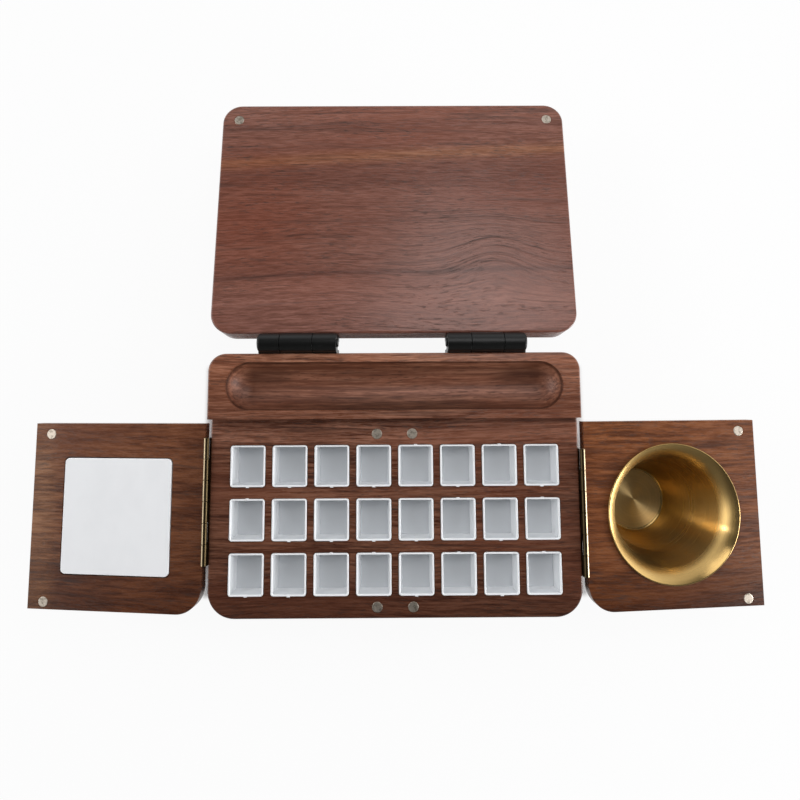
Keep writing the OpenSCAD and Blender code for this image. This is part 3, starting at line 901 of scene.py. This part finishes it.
@dataclass
class Boards:
    """The four wooden boards."""

    edge: float = 0.25 * MM
    wing_edge: float = 0.35 * MM
    lid_wood: Walnut = Walnut(
        name="walnut_lid_board",
        seed=3.1,
        dark=(0.098, 0.037, 0.025),
        middle=(0.172, 0.068, 0.047),
        light=(0.245, 0.106, 0.077),
        red=(0.184, 0.060, 0.037),
        rings=0.30,
        lines=0.55,
        fibre=1.00,
        pores=0.50,
        streaks=(
            Streak(0.1585, 0.0030, 0.055, (1.32, 1.36, 1.08)),
            Streak(0.1460, 0.0060, 0.015, (0.86, 0.84, 0.84)),
            Streak(0.1750, 0.0022, 0.020, (0.78, 0.78, 0.80)),
            Streak(0.0980, 0.0012, 0.030, (0.66, 0.66, 0.68)),
            Streak(0.1790, 0.0140, 0.000, (1.20, 1.26, 1.28)),
            Streak(0.0880, 0.0040, -0.030, (1.12, 1.14, 1.14)),
        ),
        patches=(
            Patch(-0.068, 0.128, 0.030, 0.034, (1.00, 0.86, 0.78)),
            Patch(0.045, 0.082, 0.050, 0.022, (1.10, 1.12, 1.15)),
            Patch(-0.050, 0.080, 0.045, 0.018, (1.12, 1.18, 1.24)),
        ),
        arches=(Arch(0.0485, 0.1075, 0.020, 0.0085),),
    )
    block_wood: Walnut = Walnut(
        name="walnut_block",
        seed=11.7,
        dark=(0.052, 0.017, 0.009),
        middle=(0.118, 0.0440, 0.0242),
        light=(0.192, 0.080, 0.047),
        red=(0.125, 0.036, 0.017),
        rings=0.95,
        lines=1.70,
        fibre=1.00,
        streaks=(
            # Darker towards the front: partly painted shade, partly darker wood.
            Streak(-0.066, 0.022, 0.0, (0.48, 0.42, 0.38)),
            # Painted sheen: lighter, greyer bands over the rail top and the back of the deck.
            Streak(0.061, 0.021, 0.0, (2.30, 2.60, 2.72)),
            Streak(0.023, 0.009, 0.0, (1.50, 1.60, 1.72)),
            Streak(-0.028, 0.004, 0.0, (1.12, 1.18, 1.18)),
        ),
        patches=(
            # Painted shade and light in the groove: darker ends, back wall and front edge, and a
            # lighter band just below its middle.
            Patch(-0.060, 0.0500, 0.012, 0.0045, (0.62, 0.60, 0.58)),
            Patch(0.060, 0.0500, 0.012, 0.0045, (0.62, 0.60, 0.58)),
            Patch(0.000, 0.0518, 0.066, 0.0028, (0.68, 0.66, 0.64)),
            Patch(0.006, 0.0420, 0.058, 0.0022, (1.38, 1.43, 1.50)),
            Patch(0.000, 0.0358, 0.066, 0.0014, (0.60, 0.58, 0.56)),
        ),
        hollows=(Hollow(y=0.045, half_run=0.06642, radius=0.01098, low=0.038),),
    )
    left_wood: Walnut = Walnut(
        name="walnut_left_wing",
        seed=23.4,
        dark=(0.070, 0.022, 0.010),
        middle=(0.134, 0.044, 0.0175),
        light=(0.202, 0.074, 0.032),
        red=(0.144, 0.042, 0.015),
        rings=1.20,
        lines=1.90,
        fibre=0.55,
        pores=0.38,
        # Darker towards the front: partly painted shade, partly darker wood.
        streaks=(Streak(-0.068, 0.032, 0.0, (0.53, 0.42, 0.30)),),
        patches=(
            Patch(-0.092, -0.012, 0.012, 0.040, (0.78, 0.76, 0.74)),
            # Painted sheen: a lighter, greyer strip along the outer edge.
            Patch(-0.172, -0.030, 0.012, 0.070, (1.50, 1.95, 2.25)),
        ),
    )
    right_wood: Walnut = Walnut(
        name="walnut_right_wing",
        seed=37.9,
        dark=(0.092, 0.029, 0.011),
        middle=(0.178, 0.056, 0.0182),
        light=(0.254, 0.091, 0.034),
        red=(0.188, 0.054, 0.015),
        red_share=0.25,
        rings=1.15,
        lines=1.90,
        fibre=0.55,
        pores=0.38,
        # Darker towards the front: partly painted shade, partly darker wood.
        streaks=(Streak(-0.068, 0.032, 0.0, (0.37, 0.29, 0.18)),),
    )

    def build(self) -> None:
        """Builds and dresses the boards."""
        block = eased_copy("base", "block", self.edge)
        dress(block, self.block_wood.material(), "base", ["base"])
        lid = eased_copy("lid", "lid_board", self.edge)
        dress(lid, self.lid_wood.material(), "lid", ["lid"])
        for side, wood in ((Side.LEFT, self.left_wood), (Side.RIGHT, self.right_wood)):
            node = f"{side.value}_wing"
            wing = eased_copy(node, f"{node}_board", self.wing_edge)
            dress(wing, wood.material(), node, [node])


@dataclass
class PanSet:
    """The white half pans."""

    count: int = 24
    wall: float = 0.75 * MM
    floor: float = 1.2 * MM
    draft: Pair = (0.85 * MM, 0.2 * MM)
    corner: float = 1.2 * MM
    corner_segments: int = 4
    lip: float = 0.22 * MM
    lip_turn: float = 40.0
    lip_segments: int = 2
    nub: Point = (1.5 * MM, 0.5 * MM, 0.35 * MM)
    nub_out: float = 0.2
    nub_down: float = 0.55
    nub_round: float = 0.35
    nubs_at_back: Tuple[int, ...] = (5, 7, 9, 14, 16, 19, 20, 22, 24)
    # Painted shade by height: grey floors, bright walls, a darker band under the rim and a white
    # rim.
    levels: Stops = (
        (0.025, (0.69, 0.71, 0.735)),
        (0.055, (0.88, 0.89, 0.905)),
        (0.85, (0.63, 0.645, 0.66)),
        (0.95, (0.86, 0.865, 0.875)),
    )

    def build(self) -> None:
        """Builds and dresses every pan."""
        low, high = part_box("pan_1")
        material = Moulded("pan_white", self.levels, (low.z + self.floor, high.z)).material()
        for number in range(1, self.count + 1):
            node = f"pan_{number}"
            piece = self._pan(node, f"half_pan_{number}", number in self.nubs_at_back)
            dress(piece, material, node, [node])

    def _pan(self, node: str, name: str, nub_at_back: bool) -> Object:
        """Builds one pan in its place.

        Args:
            node: CAD node that the pan stands for.
            name: Name of the piece.
            nub_at_back: Whether the moulding's nub is on the back side.

        Returns:
            The piece.
        """
        low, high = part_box(node)
        size, middle = high - low, (high + low) / 2
        bm = bmesh.new()
        bmesh.ops.create_cube(bm, size=1.0)
        bmesh.ops.scale(bm, vec=size, verts=bm.verts[:])
        upright = [e for e in bm.edges if abs(e.verts[0].co.z - e.verts[1].co.z) > size.z / 2]
        soften(bm, upright, self.corner, self.corner_segments)
        top = max(bm.faces, key=lambda f: f.calc_center_median().z)
        bmesh.ops.inset_individual(bm, faces=[top], thickness=self.wall, use_even_offset=True)
        sunk = bmesh.ops.extrude_discrete_faces(bm, faces=[top])["faces"]
        bmesh.ops.translate(bm, vec=(0, 0, self.floor - size.z), verts=sunk[0].verts)
        inner = Vector((size.x / 2 - self.wall, size.y / 2 - self.wall))
        shrink = (1 - self.draft[0] / inner.x, 1 - self.draft[1] / inner.y, 1.0)
        bmesh.ops.scale(bm, vec=shrink, verts=sunk[0].verts)
        soften(bm, sharp_edges(bm, self.lip_turn), self.lip, self.lip_segments)
        self._add_nub(bm, size, nub_at_back)
        bmesh.ops.translate(bm, vec=middle, verts=bm.verts[:])
        return link_mesh(bm, name)

    def _add_nub(self, bm: BMesh, size: Vector, at_back: bool) -> None:
        """Adds the small nub that moulding leaves on a pan's rim.

        Args:
            bm: Mesh of the pan, centred on the origin.
            size: Size of the pan.
            at_back: Whether the nub is on the back side.
        """
        nub = bmesh.ops.create_cube(bm, size=1.0)["verts"]
        bmesh.ops.scale(bm, vec=self.nub, verts=nub)
        edges = list(dict.fromkeys(e for v in nub for e in v.link_edges))
        out = size.y / 2 + self.nub[1] * self.nub_out
        place = (0.0, out if at_back else -out, size.z / 2 - self.nub[2] * self.nub_down)
        bmesh.ops.translate(bm, vec=place, verts=nub)
        soften(bm, edges, self.nub[2] * self.nub_round, self.lip_segments)


@dataclass
class WaterCup:
    """The brass cup in the right wing, made by metal spinning."""

    rim_r: float = 32.2 * MM
    depth: float = 36.0 * MM
    floor_r: float = 16.2 * MM
    wall: float = 0.9 * MM
    flare_r: float = 13.0 * MM
    flare_end: float = 62.0
    flare_steps: int = 18
    fillet_r: float = 1.2 * MM
    fillet_steps: int = 8
    straight_cuts: int = 6
    rim_turn: float = 50.0
    rim_round: float = 0.42
    floor_tuck: float = 0.4 * MM
    floor_step: float = 0.01 * MM
    lip: float = 1.3 * MM
    wing_face: float = -1.0 * MM
    centre: Pair = (43.9 * MM, -15.2 * MM)
    turns: int = 128
    seam: float = 1e-6
    # Painted shade and light: the wall's brass is darker and the floor's lighter than one brass
    # would be.
    shaded_wall_brass: Tuple[Colour, Colour] = ((0.52, 0.345, 0.130), (0.30, 0.19, 0.066))
    spun_rough: float = 0.25
    lit_floor_brass: Tuple[Colour, Colour] = ((0.90, 0.64, 0.30), (0.50, 0.34, 0.14))
    faced_pitch: float = 0.9 * MM

    def _place(self) -> Matrix:
        """Frame of the cup: origin at the rim's middle, Z along the cup's axis."""
        hinge = next(j for j in frame["joints"] if j["name"] == "right_wing_hinge")
        lift = next(j for j in frame["joints"] if j["name"] == "cup_lift")
        tilt = math.atan2(lift["axis"][0], lift["axis"][2])
        spot = Matrix.Translation((*self.centre, self.wing_face + self.lip))
        return Matrix.Translation(hinge["pos_m"]) @ Matrix.Rotation(tilt, 4, "Y") @ spot

    def build(self) -> None:
        """Builds and dresses the wall and the floor."""
        place = self._place()
        middle = place @ Vector((0, 0, -self.depth / 2))
        bottom = place @ Vector((0, 0, -self.depth))
        # Wall with painted shade, floor with painted light.
        shaded_wall_brass = Brass("cup_brass", *self.shaded_wall_brass, tuple(middle), roughness=self.spun_rough)
        dress(self._wall(place), shaded_wall_brass.material(), "cup", ["cup"])
        lit_floor_brass = Brass("cup_floor_brass", *self.lit_floor_brass, tuple(bottom), line_pitch=self.faced_pitch)
        dress(self._floor(place), lit_floor_brass.material(), "cup", [])

    def _flare(self) -> Tuple[Vector, float]:
        """Middle of the flare's arc, and the lean from upright of the wall that runs into it."""
        end = math.radians(self.flare_end)
        across, up = self.flare_r * math.cos(end), self.flare_r * math.sin(end)
        middle = Vector((self.rim_r + across, 0, -up))
        reach = middle - Vector((self.floor_r, 0, -self.depth))
        return middle, math.atan2(reach.x, reach.z) - math.asin(self.flare_r / reach.length)

    def _flat_r(self) -> float:
        """Radius of the floor inside its fillet."""
        _, lean = self._flare()
        return self.floor_r - self.fillet_r * math.tan((math.pi / 2 - lean) / 2)

    def _wall(self, place: Matrix) -> Object:
        """Spins the wall from the floor's fillet to the rim.

        Args:
            place: Frame of the cup.

        Returns:
            The piece.
        """
        flare, lean = self._flare()
        bm = bmesh.new()
        foot = bm.verts.new((self._flat_r(), 0, -self.depth))
        centre = foot.co + Vector((0, 0, self.fillet_r))
        arc = bmesh.ops.spin(
            bm,
            geom=[foot],
            cent=centre,
            axis=(0, 1, 0),
            angle=lean - math.pi / 2,
            steps=self.fillet_steps,
        )
        last = next(v for v in arc["geom_last"] if isinstance(v, BMVert))
        meet = bm.verts.new(flare + self.flare_r * Vector((-math.cos(lean), 0, math.sin(lean))))
        straight = bm.edges.new((last, meet))
        bmesh.ops.spin(
            bm,
            geom=[meet],
            cent=flare,
            axis=(0, 1, 0),
            angle=math.radians(self.flare_end) - lean,
            steps=self.flare_steps,
        )
        bmesh.ops.subdivide_edges(bm, edges=[straight], cuts=self.straight_cuts)
        bmesh.ops.spin(
            bm,
            geom=bm.verts[:] + bm.edges[:],
            cent=(0, 0, 0),
            axis=(0, 0, 1),
            angle=math.tau,
            steps=self.turns,
            use_merge=True,
        )
        bmesh.ops.remove_doubles(bm, verts=bm.verts[:], dist=self.seam)
        bmesh.ops.recalc_face_normals(bm, faces=bm.faces[:])
        flat = Vector((1, 1, 0))
        if sum(f.normal.dot(f.calc_center_median().xyz * flat) for f in bm.faces) > 0:
            bmesh.ops.reverse_faces(bm, faces=bm.faces[:])
        bmesh.ops.solidify(bm, geom=bm.faces[:], thickness=self.wall)
        sharp = sharp_edges(bm, self.rim_turn)
        rims = [e for e in sharp if e.verts[0].co.z > -self.depth / 2]
        soften(bm, rims, self.wall * self.rim_round, EDGE_SEGMENTS)
        bmesh.ops.transform(bm, matrix=place, verts=bm.verts[:])
        return link_mesh(bm, "cup_wall")

    def _floor(self, place: Matrix) -> Object:
        """Turns the cup's floor, tucked a little under the wall's fillet.

        Args:
            place: Frame of the cup.

        Returns:
            The piece.
        """
        bm = bmesh.new()
        down = Matrix.Translation((0, 0, -self.depth - self.floor_step - self.wall / 2))
        disc(bm, self._flat_r() + self.floor_tuck, self.wall, self.turns, place @ down)
        return link_mesh(bm, "cup_floor")


@dataclass
class SmallParts:
    """Plate, magnets, hinges and screws."""

    plate_edge: float = 0.35 * MM
    plate_gap: float = 0.3 * MM
    magnet_edge: float = 0.25 * MM
    magnet_sides: int = 48
    lid_hinge_edge: float = 0.5 * MM
    wing_hinge_edge: float = 0.1 * MM
    screw_edge: float = 0.12 * MM
    plate_white: Colour = (0.93, 0.93, 0.94)
    plate_under: Colour = (0.86, 0.865, 0.88)
    plate_under_share: float = 0.05
    plate_rough: float = 0.22
    plate_coat: float = 0.3
    nickel: Nickel = Nickel("magnet_nickel")
    black: BlackMetal = BlackMetal("hinge_black")
    brass: Brass = Brass(
        "hinge_brass",
        colour=(0.46, 0.36, 0.23),
        dull=(0.28, 0.21, 0.12),
        turned=False,
        roughness=0.36,
        anisotropy=0.0,
        # Painted shade on the inner side of each hinge, from here towards the middle.
        painted_shade_x=86.9 * MM,
    )
    eased_segments: int = 2

    def build(self) -> None:
        """Builds and dresses every small part."""
        self._plate()
        self._magnets()
        self._lid_hinges()
        self._wing_hinges()

    def _plate(self) -> None:
        """Builds the mixing plate, a little smaller than the CAD's so that the joint shows."""
        plate = eased_copy("mixing_plate", "mixing_tile", self.plate_edge)
        low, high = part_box("mixing_plate")
        middle = (low + high) / 2
        shrink = [1 - 2 * self.plate_gap / (high[i] - low[i]) for i in (0, 1)]
        slim = Matrix.Diagonal((*shrink, 1.0, 1.0))
        plate.data.transform(Matrix.Translation(middle) @ slim @ Matrix.Translation(-middle))
        levels = ((0.0, self.plate_under), (self.plate_under_share, self.plate_white))
        heights = (low.z, high.z)
        glaze = Moulded("plate_white", levels, heights, self.plate_rough, self.plate_coat)
        dress(plate, glaze.material(), "left_wing", ["mixing_plate"])

    def _magnets(self) -> None:
        """Builds the disc magnets."""
        material = self.nickel.material()
        wings = [f"{side.value}_wing" for side in Side]
        nodes = {"deck_magnets": "base", "lid_magnets": "lid"}
        nodes.update({f"{wing}_magnets": wing for wing in wings})
        nodes.update({f"{wing}_catch_magnet": wing for wing in wings})
        for node, body in nodes.items():
            discs = round_discs(node, f"{node}_discs", self.magnet_edge, self.magnet_sides)
            dress(discs, material, body, [node])

    def _lid_hinges(self) -> None:
        """Builds the two black hinges of the lid."""
        material = self.black.material()
        for side in Side:
            for part, body in (("base_leaf", "base"), ("lid_leaf", "lid"), ("pin", "base")):
                node = f"{side.value}_lid_hinge_{part}"
                self._eased(node, body, material, Slot.BLACK, self.lid_hinge_edge)
        for board in ("base", "lid"):
            self._eased(f"lid_hinge_{board}_screws", board, material, Slot.BLACK, self.screw_edge)

    def _wing_hinges(self) -> None:
        """Builds the two brass piano hinges of the wings."""
        material = self.brass.material()
        for side in Side:
            wing = f"{side.value}_wing"
            for part in ("base_leaf", "pin", "base_screws", "wing_leaf", "wing_screws"):
                node, body = f"{wing}_hinge_{part}", wing if part.startswith("wing") else "base"
                self._eased(node, body, material, Slot.HINGE, self.wing_hinge_edge)

    def _eased(self, node: str, body: str, material: Material, slot: Slot, edge: float) -> None:
        """Stands an eased copy in a CAD node's place.

        Args:
            node: The CAD node.
            body: Body that it rides on.
            material: Its finish.
            slot: Its record slot; not used.
            edge: Width of the easing, in metres.
        """
        piece = eased_copy(node, f"{node}_eased", edge, self.eased_segments)
        dress(piece, material, body, [node])


@dataclass(frozen=True)
class Lamp:
    """A soft flat lamp: its place, the point it faces, its width and height, and its watts."""

    name: str
    at: Point
    aim: Point
    size: Pair
    power: float

    def hang(self) -> None:
        """Hangs the lamp in the scene."""
        data = bpy.data.lights.new(self.name, "AREA")
        data.energy = self.power
        data.shape = "RECTANGLE"
        data.size, data.size_y = self.size
        lamp = add_object(self.name, data)
        lamp.visible_camera = False
        lamp.location = self.at
        facing = Vector(self.aim) - Vector(self.at)
        lamp.rotation_euler = facing.to_track_quat("-Z", "Y").to_euler()


@dataclass
class Studio:
    """Floor, room, lamps and camera."""

    camera_at: Point = (-0.51 * MM, 41.73 * MM, 286.66 * MM)
    camera_turn: Point = (5.0449, -0.1729, -0.2813)
    lens: float = 23.4
    sensor: float = 36.0
    shift: Pair = (0.0065, -0.0665)
    clip_start: float = 0.01
    floor_size: float = 6.0
    floor_drop: float = 0.2 * MM
    ceiling: float = 0.10
    side_wall: float = 3.20
    front_wall: float = 0.20
    back_wall: float = 1.45
    wall_top: Pair = (0.56, 0.68)
    wall_falloff: float = 5.0
    pole: float = 1.001
    room_light: Colour = (0.97, 0.985, 1.0)
    paper: Colour = (0.88, 0.88, 0.88)
    paper_glow: float = 0.92
    glow: Colour = (1.0, 1.0, 1.0)
    shade_half_x: float = 104.5 * MM
    shade_y: Pair = (-68.0 * MM, 58.0 * MM)
    shade_edge: float = 4.0 * MM
    lamps: Tuple[Lamp, ...] = (
        Lamp("softbox", (0.11, 0.23, 0.44), (0.05, 0.12, 0.04), (0.24, 0.24), 0.58),
        Lamp("right_window", (0.72, -0.20, 0.17), (0.10, 0.0, 0.04), (0.22, 0.24), 3.0),
        Lamp("left_window", (-0.50, 0.16, 0.36), (0.10, 0.0, 0.04), (0.07, 0.07), 0.47),
    )

    def build(self) -> None:
        """Builds the whole studio."""
        self._floor()
        self._room()
        for lamp in self.lamps:
            lamp.hang()
        self._camera()

    def _floor(self) -> None:
        """Lays a plain pale floor that keeps the object's shadow."""
        bm = bmesh.new()
        bmesh.ops.create_grid(bm, x_segments=1, y_segments=1, size=self.floor_size / 2)
        mesh = bpy.data.meshes.new("studio_floor")
        bm.to_mesh(mesh)
        bm.free()
        floor = add_object("studio_floor", mesh)
        floor.location.z = -self.floor_drop
        floor.data.materials.append(self._paper())

    def _paper(self) -> Material:
        """White paper that looks white from above and in reflections, but not under the block."""
        g = Graph("studio_paper")
        path = g.node("ShaderNodeLightPath")
        rays = ("Is Camera Ray", "Is Glossy Ray", "Is Transmission Ray")
        camera, glossy, passing = (Sock(g, path.outputs[name]) for name in rays)
        plain = g.node("ShaderNodeBsdfDiffuse", None, {"Color": (*self.paper, 1.0)})
        glow = g.node("ShaderNodeEmission", None, {"Color": (*self.glow, 1.0), "Strength": 1.0})
        x, y, _ = g.axes()
        front, back = self.shade_y
        under = 1.0 - x.absolute().step(self.shade_half_x - self.shade_edge, self.shade_half_x)
        under = under * y.step(front, front + self.shade_edge)
        under = under * (1.0 - y.step(back - self.shade_edge, back))
        share = (camera + glossy + passing) * self.paper_glow * (1.0 - under)
        ends = {0: share, 1: plain.outputs[0], 2: glow.outputs[0]}
        return g.end(g.node("ShaderNodeMixShader", None, ends))

    def _room(self) -> None:
        """Lights the room: bright walls at the sides, dimmer ones between, and a dim ceiling."""
        g = Graph("studio_room", world=True)
        across, along, height = g.axes("Generated")
        end = (along * 0.5 + 0.5) * (self.back_wall - self.front_wall) + self.front_wall
        sideways = (across * across / (self.pole - height * height)) ** self.wall_falloff
        wall = end + sideways * (self.side_wall - end)
        light = wall + height.step(*self.wall_top) * (self.ceiling - wall)
        inputs = {"Color": (*self.room_light, 1.0), "Strength": light}
        bpy.context.scene.world = g.end(g.node("ShaderNodeBackground", None, inputs))

    def _camera(self) -> None:
        """Sets the camera where the photograph was taken."""
        data = bpy.data.cameras.new("photo_camera")
        data.lens = self.lens
        data.sensor_width = self.sensor
        data.shift_x, data.shift_y = self.shift
        data.clip_start = self.clip_start
        camera = add_object("photo_camera", data)
        camera.location = self.camera_at
        camera.rotation_euler = tuple(math.radians(a) for a in self.camera_turn)
        bpy.context.scene.camera = camera


def main() -> None:
    """Builds the palette box and its studio."""
    bpy.context.scene.view_settings.view_transform = "Standard"
    Studio().build()
    Boards().build()
    PanSet().build()
    WaterCup().build()
    SmallParts().build()


if __name__ == "__main__":
    main()
